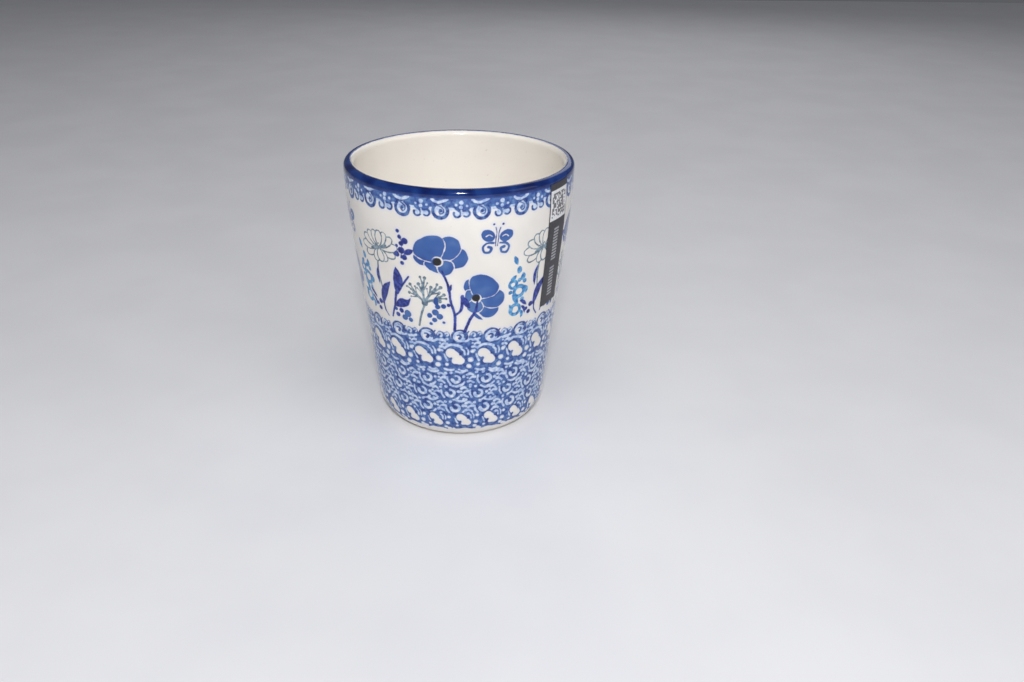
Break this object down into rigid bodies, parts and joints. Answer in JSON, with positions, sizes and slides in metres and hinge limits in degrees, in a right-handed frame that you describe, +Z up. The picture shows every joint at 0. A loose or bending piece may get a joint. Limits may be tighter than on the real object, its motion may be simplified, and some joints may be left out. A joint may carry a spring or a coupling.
{
  "type": "stoneware mug",
  "caption": "Handleless tapered stoneware mug with a rounded lip, glazed inside and out, on a bare foot ring, with a stuck-on strip label.",
  "frame": {"origin": "centre of the face that the foot ring stands on", "axes": "+Z up along the mug's axis; the front of the decoration faces -Y; the label is on the front right, 56 degrees from -Y towards +X"},
  "size_m": [0.088, 0.088, 0.106],
  "materials": {
    "fired_clay": "bare fired stoneware, matte and slightly gritty",
    "decorated_glaze": "clear gloss glaze over an ivory ground with blue stamped and painted decoration",
    "cobalt_glaze": "deep cobalt blue gloss glaze",
    "ivory_glaze": "plain ivory gloss glaze",
    "adhesive": "thin clear pressure-sensitive adhesive",
    "label_film": "satin charcoal printed label with a white panel"
  },
  "bodies": {
    "root": {"stoneware_body": "fired_clay", "outer_glaze": "decorated_glaze", "rim_glaze": "cobalt_glaze", "liner_glaze": "ivory_glaze", "base_glaze": "ivory_glaze", "label_adhesive": "adhesive", "label_face": "label_film"}
  },
  "joints": []
}
